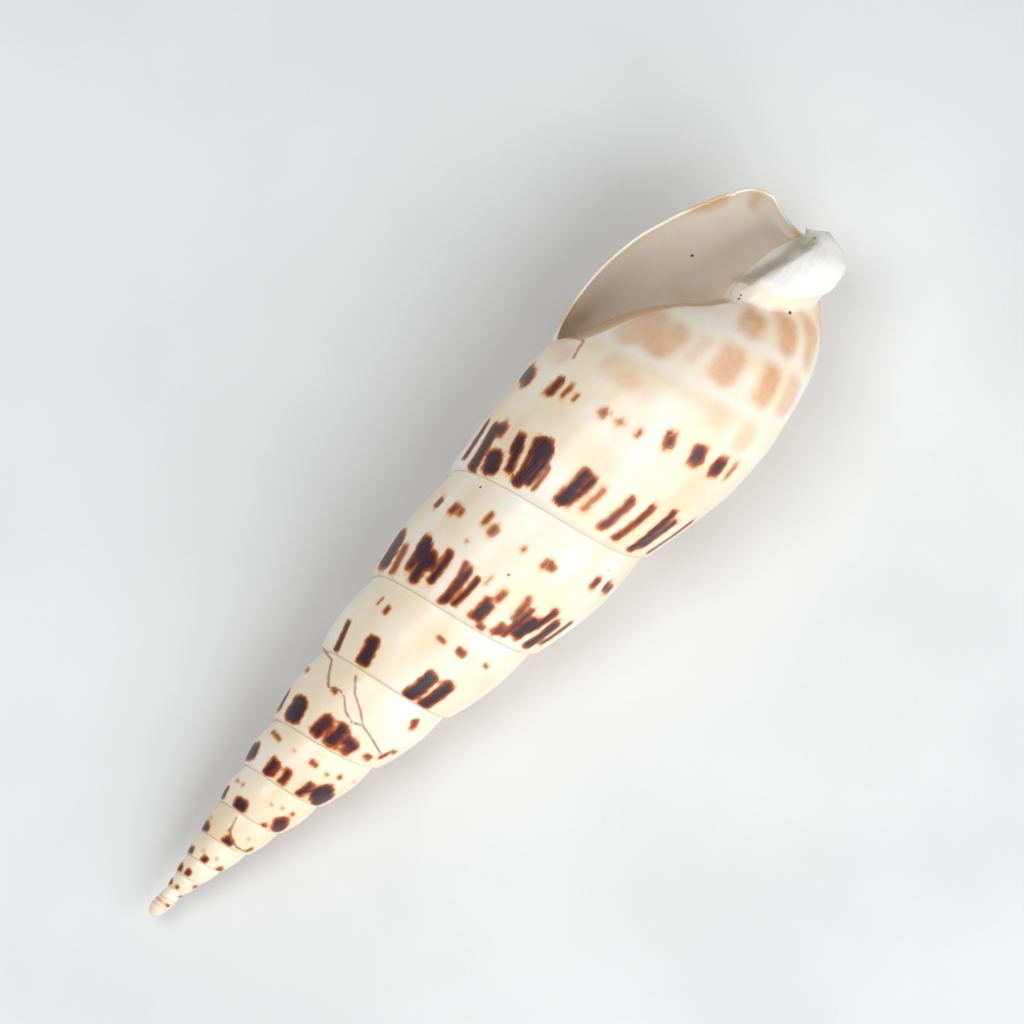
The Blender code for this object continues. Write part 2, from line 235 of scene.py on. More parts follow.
# Specks of dirt: across, down and size on the measured picture, and their colour
SPECKS = (
    (855, 480, 2.2, "1E1712"), (795, 500, 1.0, "6A3A24"), (878, 590, 2.4, "3A1A12"),
    (852, 544, 1.9, "B4431E"), (856, 543, 1.8, "C8602E"), (538, 495, 1.7, "2C2622"),
    (496, 576, 1.9, "9A6A34"), (937, 559, 1.2, "5A4630"), (943, 558, 1.1, "5A4630"),
    (949, 555, 1.3, "4C3A28"), (794, 499, 0.9, "5A3020"), (568, 643, 1.1, "54463A"),
)

# Healed breaks: lines of (across, down) on the measured picture
BREAKS = (
    ((133, 556), (120, 560), (114, 568), (112, 577), (114, 585), (120, 589)),
    (
        (313, 497), (312, 512), (300, 520), (291, 528), (297, 539), (296, 546), (286, 558), (283, 569),
        (288, 580),
    ),
    ((318, 540), (305, 552), (297, 568), (288, 580), (285, 595), (280, 612)),
    ((710, 450), (711, 458), (713, 465), (702, 467), (690, 471)),
)
BREAK_WIDTH = 0.3

# Pale spiral bands between the rows of tan squares: row and half width
PALE_BANDS = ((1.16, 0.1), (1.7, 0.09), (2.04, 0.06))

# How softly the pigment ends, in millimetres: past a mark's rim and inside it, brown and tan;
# how fast it thins out between, and the most of a mark's half size that this may take; how round
# a mark's corners are, as a share of its half height; how ragged its rim is, and the size of the
# frays; how much it bends for each millimetre squared along it; and how far it keeps from a suture
BROWN_EDGE = (0.6, 0.8)
TAN_EDGE = (0.95, 0.8)
INK_FALL = 1.25
INK_INSET = 0.9
ROUND_CORNER = 0.75
RAGGED = 0.3
FRAY_SIZE = (1.1, 0.7, 0.7)
MARK_BEND = 0.025
SUTURE_CLEAR = 0.8

# The marks of the side that the picture doesn't show follow the same rows, at random places:
# each row's middle and width across the whorl, the step between marks, and the least and most ink
HIDDEN_SEED = 7
BROWN_ROWS = ((0.24, 0.36, 3.4, 0.7, 1.0), (0.76, 0.10, 4.6, 0.4, 0.8))
TAN_ROWS = ((0.98, 0.16, 4.0, 0.3, 0.5), (1.43, 0.36, 2.4, 0.8, 1.0), (1.88, 0.19, 2.0, 0.8, 1.0))

# How those marks vary: the first one's turn, and the last tan one's; how many fit across a whorl,
# and the most that this makes in millimetres; the shift of a row, the lengths as shares of the
# row's width, the slant in degrees, and the gaps as shares of the step; and the half heights of
# marks and of the base's squares, which start at the last row given here
HIDDEN_START = -0.03
TAN_LAST_TURN = -0.5
HIDDEN_FIT = 16
HIDDEN_MOST = 1.3
HIDDEN_SHIFT = 0.03
HIDDEN_LENGTHS = (0.7, 1.1)
HIDDEN_SLANT = 8
HIDDEN_GAPS = (0.12, 0.5)
MARK_HEIGHTS = (0.35, 1.0)
SQUARE_HEIGHTS = (1.2, 2.2)
SQUARES_FROM_ROW = 1.2

# Zones of the skin, kept on its faces, and the row where the pillar's white shell starts
OUTSIDE, END, LIP_WALL, OLD_WALL, OLD_PILLAR, EDGE = range(6)
PILLAR_ROW = 2.22

# The numbers of the materials on the zones, and the one of all the others
FINISHES = {OUTSIDE: 0, END: 2, OLD_PILLAR: 2}
LINING = 1

# A distance, in millimetres, and a number of turns that stand for nowhere near
FAR_OFF = 99.0
FAR_TURNS = 9.0

# How close to a mark's rim, in millimetres, the skin is divided once more, and the shortest
# edge that is divided
REFINE_STEPS = ((1.0, 0.55), (0.5, 0.34))
BREAK_STEPS = ((0.8, 0.45), (0.4, 0.24), (0.25, 0.15))

# Low relief, in millimetres: growth waves, their spacing along the coil and their last row; and
# how deep the lip's edge is worn, how far behind the edge, from which turn, between which rows,
# and the least share of it
WAVE_HEIGHT = 0.07
WAVE_SPACING = 4.2
WAVE_LAST_ROW = 2.2
LIP_WEAR = 0.55
LIP_WEAR_REACH = 2.5
LIP_WEAR_TURN = -0.05
LIP_WEAR_ROWS = (1.0, 2.6)
LIP_WEAR_LEAST = -0.15

# The pillar: the line of its fold on the measured picture, and the trough past it, with its
# depth, its last turn, and where it sinks and rises again above the fold and along the rows.
# Each such pair gives a start and the span that it takes.
PILLAR_FOLD = ((858, 540), (872, 543), (892, 547), (917, 556), (942, 560), (958, 553))
TROUGH_DEPTH = 1.1
TROUGH_LAST_TURN = -0.55
TROUGH_SIDES = ((-0.15, 0.75), (1.5, 1.6))
TROUGH_ROWS = ((2.1, 0.25), (2.88, 0.12))

# The pillar's white body: its rise over the strip of scars behind it, its rows and its turns
BODY_RISE = 0.6
BODY_ROWS = ((2.24, 0.1), (2.75, 0.25))
BODY_TURNS = ((-1.02, 0.2), (-0.4, 0.2))

# The lights: name, size in metres, watts, and the way to it as shares of the direction out of
# the mouth, the lip's side and the axis
LIGHTS = (("key", 0.45, 2.3, (0.88, 0.3, -0.05)), ("fill", 1.0, 5.7, (0.6, -0.66, 0.0)))
LIGHT_DISTANCE = 0.9
WORLD_COLOUR = "F2F5F7"
WORLD_STRENGTH = 0.36
FLOOR_REACH = 1.5


def curve(points, at):
    """The value at one place of a smooth line through (place, value) points, with no overshoot."""
    slopes = [(b[1] - a[1]) / (b[0] - a[0]) for a, b in zip(points, points[1:])]
    index = max(i for i in range(len(slopes)) if i == 0 or points[i][0] <= at)
    tangents = []
    for i in (index, index + 1):
        before = slopes[max(i - 1, 0)]
        after = slopes[min(i, len(slopes) - 1)]
        tangents.append(2 * before * after / (before + after) if before * after > 0 else 0.0)
    (x0, y0), (x1, y1) = points[index], points[index + 1]
    span = x1 - x0
    t = min(max((at - x0) / span, 0.0), 1.0)
    rise = (3 - 2 * t) * t * t
    bend = span * t * (1 - t) * ((1 - t) * tangents[0] - t * tangents[1])
    return y0 + (y1 - y0) * rise + bend


@functools.lru_cache(maxsize=None)
def spiral(feature, turn):
    """Place and radius of one of the front end's spiral features."""
    place = curve([(key, x) for key, x, _ in feature], turn)
    return place, curve([(key, radius) for key, _, radius in feature], turn)


def mix(a, b, share):
    return a + (b - a) * share


def ease(share):
    share = min(max(share, 0.0), 1.0)
    return (3 - 2 * share) * share * share


def within(value, sides):
    """Rises to 1 past the first side and falls past the second; each is a start and a span."""
    (start, rise), (end, fall) = sides
    return ease((value - start) / rise) * (1 - ease((value - end) / fall))


@functools.lru_cache(maxsize=None)
def suture_x(turn):
    return SUTURE_START + SUTURE_REACH * TURN_GROWTH**turn + curve(SUTURE_DRIFT, turn)


def uneven(x, turn):
    """Dents and swellings of the real shell's outline."""
    total = 0.0
    for place, degrees, width, height in UNEVENNESS:
        facing = max(math.cos(2 * math.pi * turn - math.radians(degrees)), 0.0)
        total += height * facing**2 * math.exp(-(((x - place) / width) ** 2))
    return total


def side_radius(turn, across):
    """Radius of a whorl's side, across from its suture at 0 to the next one at 1."""
    x = mix(suture_x(turn), suture_x(turn + 1), across)
    start, rise, fall = WHORL_SIDE
    swell = (start + rise * across - fall * across**2) * min(x / FULL_SWELL_X, 1.0)
    outline = OUTLINE_SLOPE * x - OUTLINE_CURVE * x * x
    return max(outline, TIP_BLUNTNESS) + swell + uneven(x, turn)


def spire_point(turn, across):
    """Place and radius on a spire whorl, whose upper edge curls down onto the whorl before it."""
    x = mix(suture_x(turn), suture_x(turn + 1), across)
    under = 1 - ease(across / SUTURE_ROUNDING)
    return x, mix(side_radius(turn, across), side_radius(turn - 1, 1.0), under)


def departure(turn, at_half, at_lip):
    """Grows smoothly from nothing at turn -1 to the given values at -0.5 and at the lip."""
    grown = turn + 1
    first = 8 * at_half - at_lip
    return grown**2 * (first + (at_lip - first) * grown)


@functools.lru_cache(maxsize=None)
def last_side_radius(turn, across):
    """Radius of the last whorl's side, which leaves the spire's rule for its own outlines."""
    gaps = []
    for key, outline in ((-0.5, FAR_SIDE), (0, OUTER_LIP)):
        x = mix(suture_x(key), suture_x(key + 1), across)
        gaps.append(curve(outline, x) - side_radius(key, across))
    return side_radius(turn, across) + departure(turn, *gaps)


@functools.lru_cache(maxsize=None)
def base_share(key, outline, share):
    """How much of the fall from the whorl's side to the groove is left, on one outline."""
    groove_x, groove_radius = spiral(GROOVE, key)
    start = suture_x(key + 1)
    first = curve(outline, start)
    here = curve(outline, mix(start, groove_x, share))
    return (here - groove_radius) / (first - groove_radius)


def base_point(turn, share):
    """Place and radius on the last whorl's base, share 0 at its side and 1 at the groove."""
    groove_x, groove_radius = spiral(GROOVE, turn)
    keys = ((-1, MOUTH_WALL), (-0.5, FAR_SIDE), (0, OUTER_LIP))
    left = curve([(key, base_share(key, outline, share)) for key, outline in keys], turn)
    x = mix(suture_x(turn + 1), groove_x, share)
    return x, mix(groove_radius, last_side_radius(turn, 1.0), left)


def end_point(turn, share):
    """Place and radius over the notch's trace and the pillar, to the pillar's end at 1."""
    stations = [spiral(feature, turn) for feature in (GROOVE, TRACE, PILLAR, PILLAR_END)]
    x = curve(list(zip(END_PLACES, [station[0] for station in stations])), share)
    return x, curve(list(zip(END_PLACES, [station[1] for station in stations])), share)


@functools.lru_cache(maxsize=None)
def body_point(turn, across):
    """Place and radius on the last whorl, for any row from the suture to the pillar's end."""
    if across <= SUTURE_ROUNDING:
        x, _ = spire_point(turn, across)
        under = 1 - ease(across / SUTURE_ROUNDING)
        return x, mix(last_side_radius(turn, across), side_radius(turn - 1, 1.0), under)
    if across <= 1:
        return mix(suture_x(turn), suture_x(turn + 1), across), last_side_radius(turn, across)
    if across <= 2:
        return base_point(turn, across - 1)
    return end_point(turn, across - 2)


def edge_turn(turn, across):
    """The turn after the siphonal notch has set the lip's edge back."""
    if across <= 2:
        return turn
    near_lip = max(1 + turn / NOTCH_SPAN, 0.0)
    return turn - NOTCH_DEPTH * math.sin(math.pi * (across - 2) ** NOTCH_SKEW) ** 2 * near_lip


def round_axis(place, turn):
    """A point in space from a place along the axis, a radius and a turn."""
    x, radius = place
    angle = 2 * math.pi * turn
    return x, radius * math.cos(angle), radius * math.sin(angle)


def outer_point(turn, across):
    there = edge_turn(turn, across)
    return round_axis(body_point(there, across), there)


def wall_point(turn, across):
    """A point on the hollow's outer wall: the outside, moved in by the shell's thickness."""
    if across < CORNER_ROW:
        corner = Vector(old_wall_point(turn, BASE_ROWS[0]))
        return corner.lerp(wall_point(turn, CORNER_ROW), across / CORNER_ROW)
    there = edge_turn(turn, across)
    x, radius = body_point(there, across)
    ahead = body_point(there, min(across + 0.02, 3.0))
    behind = body_point(there, across - 0.02)
    along = (ahead[0] - behind[0], ahead[1] - behind[1])
    length = math.hypot(*along) or 1.0
    deep = mix(LIP_THICKNESS, WALL_THICKNESS, min(-turn / WALL_FULL_TURN, 1.0))
    deep *= min((3 - across) / EDGE_TAPER, 1.0)
    return round_axis((x + deep * along[1] / length, radius - deep * along[0] / length), there)


def old_wall_point(turn, across):
    """A point on the hollow's inner wall: the older whorl's base, then the pillar."""
    shrink = TURN_GROWTH**turn
    if across <= 2:
        x, radius = body_point(-1, across)
        return round_axis((SUTURE_START + (x - SUTURE_START) * shrink, radius * shrink), turn)
    groove_x, groove_radius = body_point(-1, 2.0)
    start = (SUTURE_START + (groove_x - SUTURE_START) * shrink, groove_radius * shrink)
    end = spiral(HOLLOW_END, turn)
    share = across - 2
    mouth_x, mouth_radius = body_point(-1, across)
    mouth_start, mouth_end = body_point(-1, 2.0), body_point(-1, 3.0)
    bulge = mouth_radius - mix(mouth_start[1], mouth_end[1], share)
    along = (mouth_x - mouth_start[0]) / (mouth_end[0] - mouth_start[0])
    return round_axis((mix(start[0], end[0], along), mix(start[1], end[1], share) + bulge), turn)


class Skin:
    """A bmesh with what each vertex and face knows of where it lies on the shell."""

    def __init__(self):
        self.bm = bmesh.new()
        self.turn = self.bm.verts.layers.float.new("turn")
        self.across = self.bm.verts.layers.float.new("across")
        self.zone = self.bm.faces.layers.int.new("zone")
        self.growth = self.bm.loops.layers.uv.new("growth")

    def sheet(self, columns, rows, place):
        """Adds a sheet; place(column, row) gives a vertex's point, turn, across and zone."""
        bm = self.bm
        made = bmesh.ops.create_grid(bm, x_segments=columns, y_segments=rows, size=0.5)["verts"]
        spots = {}
        for vert in made:
            column = round((vert.co.x + 0.5) * columns)
            row = round((vert.co.y + 0.5) * rows)
            point, turn, across, zone = place(column, row)
            spots[vert] = (turn, across, zone)
            vert[self.turn] = turn
            vert[self.across] = across
            vert.co = point
        for face in {face for vert in made for face in vert.link_faces}:
            corners = [spots[vert] for vert in face.verts]
            face[self.zone] = min(corner[2] for corner in corners)
            for loop in face.loops:
                turn, across, _ = spots[loop.vert]
                loop[self.growth].uv = growth_place(turn, across)


def growth_place(turn, across):
    """Millimetres along the coil, and across it, at the whorl's own size."""
    size = TURN_GROWTH**turn
    along = MEAN_SLOPE * SUTURE_REACH * 2 * math.pi * size / math.log(TURN_GROWTH)
    return along, across * SUTURE_REACH * (TURN_GROWTH - 1) * size


def add_spire(skin):
    def place(column, row):
        turn = FIRST_TURN + column / COLUMNS
        across = SIDE_ROWS[row]
        return round_axis(spire_point(turn, across), turn), turn, across, OUTSIDE

    skin.sheet((-1 - FIRST_TURN) * COLUMNS, len(SIDE_ROWS) - 1, place)


def add_last_whorl(skin):
    def place(column, row):
        turn = column / COLUMNS - 1
        across = OUTER_ROWS[row]
        zone = END if across > PILLAR_ROW else OUTSIDE
        return outer_point(turn, across), turn, across, zone

    skin.sheet(COLUMNS, len(OUTER_ROWS) - 1, place)


def hollow_place(turn, index):
    """A point of the ring that the hollow's wall makes at one turn, by its number in the ring."""
    last = len(OUTER_ROWS) - 1
    if index in (0, last + len(INNER_ROWS) - 1):
        return old_wall_point(turn, INNER_ROWS[0]), turn, INNER_ROWS[0], OLD_WALL
    if index == last:
        return round_axis(spiral(HOLLOW_END, turn), turn), turn, 3.0, OLD_PILLAR
    if index < last:
        reach = curve(HOLLOW_REACH, turn)
        across = OUTER_ROWS[index]
        if across > 1:
            across = mix(1, reach, (across - 1) / 2)
        return wall_point(turn, across), turn, across, LIP_WALL
    across = INNER_ROWS[last - 1 - index]
    zone = OLD_PILLAR if across > PILLAR_ROW else OLD_WALL
    return old_wall_point(turn, across), turn, across, zone


def add_hollow(skin):
    size = len(OUTER_ROWS) - 1 + len(INNER_ROWS) - 1
    skin.sheet(COLUMNS, size, lambda column, row: hollow_place(-column / COLUMNS, row))


def add_lip_edge(skin):
    def place(column, row):
        if column == 0:
            return outer_point(0, OUTER_ROWS[row]), 0, OUTER_ROWS[row], EDGE
        return hollow_place(0, row)[:3] + (EDGE,)

    skin.sheet(1, len(OUTER_ROWS) - 1, place)


def close_holes(skin):
    """Closes the point with a dome, and the pillar's end and the hollow's far end with a fan."""
    bm = skin.bm
    known = set(bm.faces)
    open_edges = [edge for edge in bm.edges if edge.is_boundary]
    while open_edges:
        ring = connected_edges(open_edges)
        open_edges = [edge for edge in open_edges if edge not in ring]
        verts = dict.fromkeys(vert for edge in ring for vert in edge.verts)
        centre = [sum(vert.co[axis] for vert in verts) / len(verts) for axis in range(3)]
        if centre[0] < suture_x(FIRST_TURN + 2):
            centre = (TIP_X, 0.0, 0.0)
            ring = raise_dome(bm, ring)
        elif centre[0] > GROOVE[-1][1]:
            centre = PILLAR_TOP
        bmesh.ops.pointmerge(bm, verts=extruded(bm, ring), merge_co=centre)
    for face in set(bm.faces) - known:
        for loop in face.loops:
            loop[skin.growth].uv = growth_place(loop.vert[skin.turn], 0.5)


def raise_dome(bm, ring):
    """Rounds the point off, ring by ring, and gives the last ring's edges."""
    reached = 0.0
    for step in [math.radians(degrees) for degrees in DOME_STEPS]:
        top = extruded(bm, ring)
        near = [edge for vert in top for edge in vert.link_edges]
        ring = dict.fromkeys(edge for edge in near if edge.is_boundary)
        closer = (1 - math.sin(step)) / (1 - math.sin(reached))
        slimmer = math.cos(step) / math.cos(reached)
        for vert in top:
            vert.co = mix(TIP_X, vert.co.x, closer), vert.co.y * slimmer, vert.co.z * slimmer
        reached = step
    return ring


def extruded(bm, edges):
    made = bmesh.ops.extrude_edge_only(bm, edges=list(edges))["geom"]
    return [item for item in made if isinstance(item, bmesh.types.BMVert)]


def connected_edges(edges):
    """The edges of one open ring, in the order they are found from the first edge of a list."""
    ring, waiting = {}, [edges[0]]
    while waiting:
        edge = waiting.pop()
        ring[edge] = True
        for vert in edge.verts:
            waiting += [near for near in vert.link_edges if near.is_boundary and near not in ring]
    return ring


class Places:
    """Where the skin's vertices lie, on the shell and as the camera sees them, as arrays."""

    def __init__(self, skin):
        verts = skin.bm.verts
        co = np.array([vert.co for vert in verts])
        self.x, self.y = co[:, 0], co[:, 1]
        self.radius = np.hypot(co[:, 1], co[:, 2])
        self.turn = np.array([vert[skin.turn] for vert in verts])
        self.angle = np.arctan2(co[:, 2], co[:, 1])
        zones = [{face[skin.zone] for face in vert.link_faces} for vert in verts]
        self.outside = np.array([bool(zone) and zone <= {OUTSIDE, END} for zone in zones])
        self.grown = np.array([bool(zone) and zone <= {OUTSIDE} for zone in zones])
        self.upper = self.outside & (co[:, 2] >= 0)
        nearer = VIEW_DISTANCE / (VIEW_DISTANCE - co[:, 2])
        self.seen_x = VIEW_PLACE[0] + (self.x - VIEW_PLACE[0]) * nearer
        self.seen_y = VIEW_PLACE[1] + (self.y - VIEW_PLACE[1]) * nearer
        frayed = co / np.array(FRAY_SIZE)
        self.ragged = np.array([noise.noise(spot) for spot in frayed])

    def seen_at(self, x, y):
        """The number of the outside vertex that the camera sees at (x, y)."""
        gaps = (self.seen_x - x) ** 2 + (self.seen_y - y) ** 2
        return np.argmin(np.where(self.upper, gaps, np.inf))


def measured(across, down):
    """Millimetres from a place on the measured picture."""
    return across / MARK_UNITS, (AXIS_ROW - AXIS_RISE * across - down) / MARK_UNITS


def seen_box(places, mark):
    """A mark as (x, turn, half length, half height, slant, ink), from where it is seen."""
    left, right, top, bottom, slant, ink = mark
    x, high = measured((left + right) / 2, top)
    _, low = measured((left + right) / 2, bottom)
    start, middle, end = [places.seen_at(x, y) for y in (high, (high + low) / 2, low)]
    round_it = places.angle[end] - places.angle[start]
    tall = max(round_it * places.radius[middle] / 2, (bottom - top) / MARK_UNITS / 2)
    off_middle = (places.angle[start] + places.angle[end]) / 2 - places.angle[middle]
    turn = places.turn[middle] + off_middle / (2 * math.pi)
    return places.x[middle], turn, (right - left) / MARK_UNITS / 2, tall, slant, ink


def skin_point(turn, across):
    """Place and radius anywhere on the outside, on the spire or on the last whorl."""
    return body_point(turn, across) if turn > -1 else spire_point(turn, across)


def hidden_boxes(rows, last_turn):
    """Marks of the underside, in the same rows, from the lip's edge back to the last turn."""
    rng = random.Random(HIDDEN_SEED)
    boxes = []
    for middle, wide, step, *inks in rows:
        turn = HIDDEN_START
        while turn > last_turn:
            whorl = SUTURE_REACH * (TURN_GROWTH - 1) * TURN_GROWTH**turn
            size = min(whorl / HIDDEN_FIT, HIDDEN_MOST)
            across = middle + rng.uniform(-HIDDEN_SHIFT, HIDDEN_SHIFT)
            x, radius = skin_point(turn, across)
            if middle < SQUARES_FROM_ROW:
                tall = rng.uniform(*MARK_HEIGHTS) * size
            else:
                tall = rng.uniform(*SQUARE_HEIGHTS)
            if turn % 1 > 0.5:
                end_x, _ = skin_point(turn, across + wide / 2)
                long = (end_x - x) * rng.uniform(*HIDDEN_LENGTHS)
                slant = rng.uniform(-HIDDEN_SLANT, HIDDEN_SLANT)
                boxes.append((x, turn, long, tall, slant, rng.uniform(*inks)))
            gap = rng.uniform(*HIDDEN_GAPS) * step * size
            turn -= (tall * 2 + gap) / (2 * math.pi * radius)
    return boxes


def round_skin(places, box):
    """Millimetres along the axis and up round it, from a box's middle to every outside vertex."""
    up = 2 * math.pi * (box[1] - places.turn) * places.radius
    return places.x - box[0], np.where(places.outside, up, FAR_OFF)


def as_seen(places, box):
    """Millimetres from a box's middle to every vertex of the mouth and the pillar, as seen."""
    return places.x - box[0], np.where(places.grown, FAR_OFF, places.y - box[1])


def box_distance(places, box, spread):
    """Millimetres from every vertex to a bent box with rounded corners."""
    long, tall, slant = box[2:5]
    small = min(long, tall)
    tilt = math.radians(slant)
    right, up = spread(places, box)
    along = right * math.cos(tilt) + up * math.sin(tilt)
    over = up * math.cos(tilt) - right * math.sin(tilt)
    over = over - MARK_BEND * (along**2 - long**2 / 3)
    corner = ROUND_CORNER * small
    a = np.abs(along) - long + corner
    b = np.abs(over) - tall + corner
    gap = np.hypot(np.maximum(a, 0), np.maximum(b, 0)) + np.minimum(np.maximum(a, b), 0) - corner
    return gap + places.ragged * RAGGED * min(small, 1.0)


def pigment(places, boxes, edge, spread=round_skin):
    """How much pigment lies at every vertex, from 0 to 1; soft marks that overlap add up."""
    bare = np.ones(len(places.x))
    for box in boxes:
        inside = min(edge[1], INK_INSET * min(box[2], box[3]))
        share = np.clip((edge[0] - box_distance(places, box, spread)) / (edge[0] + inside), 0, 1)
        bare *= 1 - box[5] * share**INK_FALL
    return 1 - bare


def rim_distance(places, boxes):
    """Millimetres from every vertex to the nearest mark's rim."""
    near = np.full(len(places.x), FAR_OFF)
    for box in boxes:
        near = np.minimum(near, np.abs(box_distance(places, box, round_skin)))
    return near


def mouth_box(mark):
    """A stain of the mouth or the pillar, or a box of painted shade, as (x, y, half length, half
    height, slant, ink).
    """
    left, right, top, bottom, slant, ink = mark
    x, y = measured((left + right) / 2, (top + bottom) / 2)
    return x, y, (right - left) / MARK_UNITS / 2, (bottom - top) / MARK_UNITS / 2, slant, ink


def break_distance(places):
    """The distance to the nearest healed break, on the side that the picture shows."""
    near = np.full(len(places.x), FAR_OFF)
    for line in BREAKS:
        points = [measured(*spot) for spot in line]
        for (x0, y0), (x1, y1) in zip(points, points[1:]):
            dx, dy = x1 - x0, y1 - y0
            share = ((places.x - x0) * dx + (places.y - y0) * dy) / (dx * dx + dy * dy)
            share = np.clip(share, 0, 1)
            gap = np.hypot(places.x - x0 - share * dx, places.y - y0 - share * dy)
            near = np.minimum(near, np.where(places.upper, gap, FAR_OFF))
    return near


def all_boxes(places):
    """The brown marks and the tan squares of the whole shell."""
    brown = [seen_box(places, mark) for mark in BROWN_MARKS]
    tan = [seen_box(places, mark) for mark in TAN_MARKS]
    brown += hidden_boxes(BROWN_ROWS, FIRST_TURN + 2)
    return brown, tan + hidden_boxes(TAN_ROWS, TAN_LAST_TURN)


def refine(skin, boxes):
    """Divides the skin along the rims of the marks and the breaks, where the colour changes."""
    for near, shortest in REFINE_STEPS:
        places = Places(skin)
        divide(skin, rim_distance(places, boxes), near, shortest)
    for near, shortest in BREAK_STEPS:
        places = Places(skin)
        divide(skin, break_distance(places), near, shortest)


def divide(skin, gap, near, shortest):
    bm = skin.bm
    bm.verts.index_update()
    chosen = []
    for edge in bm.edges:
        furthest = max(gap[vert.index] for vert in edge.verts)
        if furthest < near and edge.calc_length() > shortest:
            chosen.append(edge)
    bmesh.ops.subdivide_edges(bm, edges=chosen, cuts=1, use_grid_fill=True)


def add_relief(skin):
    """Raises growth waves and wears the lip's edge."""
    bm = skin.bm
    bm.normal_update()
    moves = []
    for vert in bm.verts:
        zones = {face[skin.zone] for face in vert.link_faces}
        turn, across = vert[skin.turn], vert[skin.across]
        move = Vector()
        if OUTSIDE in zones and across < WAVE_LAST_ROW:
            coil = growth_place(turn, across)[0] / WAVE_SPACING
            wave = noise.noise((coil, across * 1.5, 3.0))
            fine = noise.noise((coil * 2.7, across * 2.0, 9.0))
            size = min(vert.co.x / FULL_SWELL_X, 1.0)
            move += vert.normal * WAVE_HEIGHT * size * (wave + 0.5 * fine)
        worn_row = LIP_WEAR_ROWS[0] < across < LIP_WEAR_ROWS[1]
        if turn > LIP_WEAR_TURN and worn_row and zones & {EDGE, LIP_WALL, OUTSIDE}:
            behind = -turn * 2 * math.pi * max(math.hypot(vert.co.y, vert.co.z), 1.0)
            worn = max(noise.noise((across * 9.0, 0.0, 5.0)), LIP_WEAR_LEAST)
            worn += 0.4 * noise.noise((across * 31, 1.0, 0.0))
            deep = max(1 - behind / LIP_WEAR_REACH, 0.0) ** 2 * LIP_WEAR * (worn + 0.2)
            move -= Vector((0, vert.co.y, vert.co.z)).normalized() * deep
        moves.append(move)
    for vert, move in zip(bm.verts, moves):
        vert.co += move


def fold_distance(x, y):
    """How far a place on the pillar lies above the line of its fold, in millimetres."""
    points = [measured(*spot) for spot in PILLAR_FOLD]
    return y - curve(points, x)


def shape_pillar(skin):
    """Raises the pillar's white body over the strip behind it, and sinks the trough past its fold."""
    bm = skin.bm
    bm.normal_update()
    moves = []
    for vert in bm.verts:
        zones = {face[skin.zone] for face in vert.link_faces}
        turn, across = vert[skin.turn], vert[skin.across]
        height = 0.0
        if zones & {END, OUTSIDE}:
            height = BODY_RISE * within(across, BODY_ROWS) * within(turn, BODY_TURNS)
            if turn < TROUGH_LAST_TURN:
                sunk = within(fold_distance(vert.co.x, vert.co.y), TROUGH_SIDES)
                height -= TROUGH_DEPTH * sunk * within(across, TROUGH_ROWS)
        moves.append(vert.normal * height)
    for vert, move in zip(bm.verts, moves):
        vert.co += move


def lay_down(bm):
    """Tips the shell onto its belly and puts it where the CAD's box is; gives the matrix used."""
    turn_it = Matrix.Rotation(-REST_TILT, 4, "Y")
    bmesh.ops.transform(bm, verts=bm.verts, matrix=turn_it)
    low = Vector([min(vert.co[axis] for vert in bm.verts) for axis in range(3)])
    high = Vector([max(vert.co[axis] for vert in bm.verts) for axis in range(3)])
    cad_low, cad_high = (Vector(corner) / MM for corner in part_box("shell"))
    move = (cad_low + cad_high) / 2 - (low + high) / 2
    move.z = cad_high.z - high.z
    bmesh.ops.translate(bm, verts=bm.verts, vec=move)
    for vert in bm.verts:
        vert.co.z = max(vert.co.z, 0.0)
    return Matrix.Translation(move) @ turn_it


def suture_clearance(skin):
    """Falls to nothing at the sutures, where the pigment stops short on either side."""
    clear = []
    for vert in skin.bm.verts:
        turn, across = vert[skin.turn], vert[skin.across]
        _, over = growth_place(turn, across)
        _, whole = growth_place(turn, 1.0)
        before = ease((whole - over) / SUTURE_CLEAR) if turn < -1 else 1.0
        clear.append(ease(over / SUTURE_CLEAR + 0.2) * before)
    return np.array(clear)


def speck_places(skin):
    """Where the specks lie on the skin, with their size in millimetres and their colour."""
    surface = BVHTree.FromBMesh(skin.bm)
    found = []
    for across, down, size, code in SPECKS:
        above = Vector((*measured(across, down), SUTURE_REACH))
        spot = surface.ray_cast(above, Vector((0, 0, -1)))[0]
        found.append((spot, size / MARK_UNITS, code))
    return found


def edge_depth(skin, places):
    """Millimetres round the axis from the edge where the outside turns into the mouth."""
    turn = np.array([vert[skin.turn] for vert in skin.bm.verts])
    across = np.array([vert[skin.across] for vert in skin.bm.verts])
    outside = np.where((turn >= -1) & (across > 1), turn + 1, FAR_TURNS)
    return np.where(places.outside, outside, -turn) * 2 * math.pi * np.maximum(places.radius, 1.0)


def grow_skin():
    """The bare skin, closed and in relief, before it is divided for its markings."""
    skin = Skin()
    add_spire(skin)
    add_last_whorl(skin)
    add_hollow(skin)
    add_lip_edge(skin)
    bmesh.ops.remove_doubles(skin.bm, verts=skin.bm.verts, dist=MERGE_DISTANCE)
    close_holes(skin)
    bmesh.ops.recalc_face_normals(skin.bm, faces=skin.bm.faces)
    add_relief(skin)
    shape_pillar(skin)
    return skin


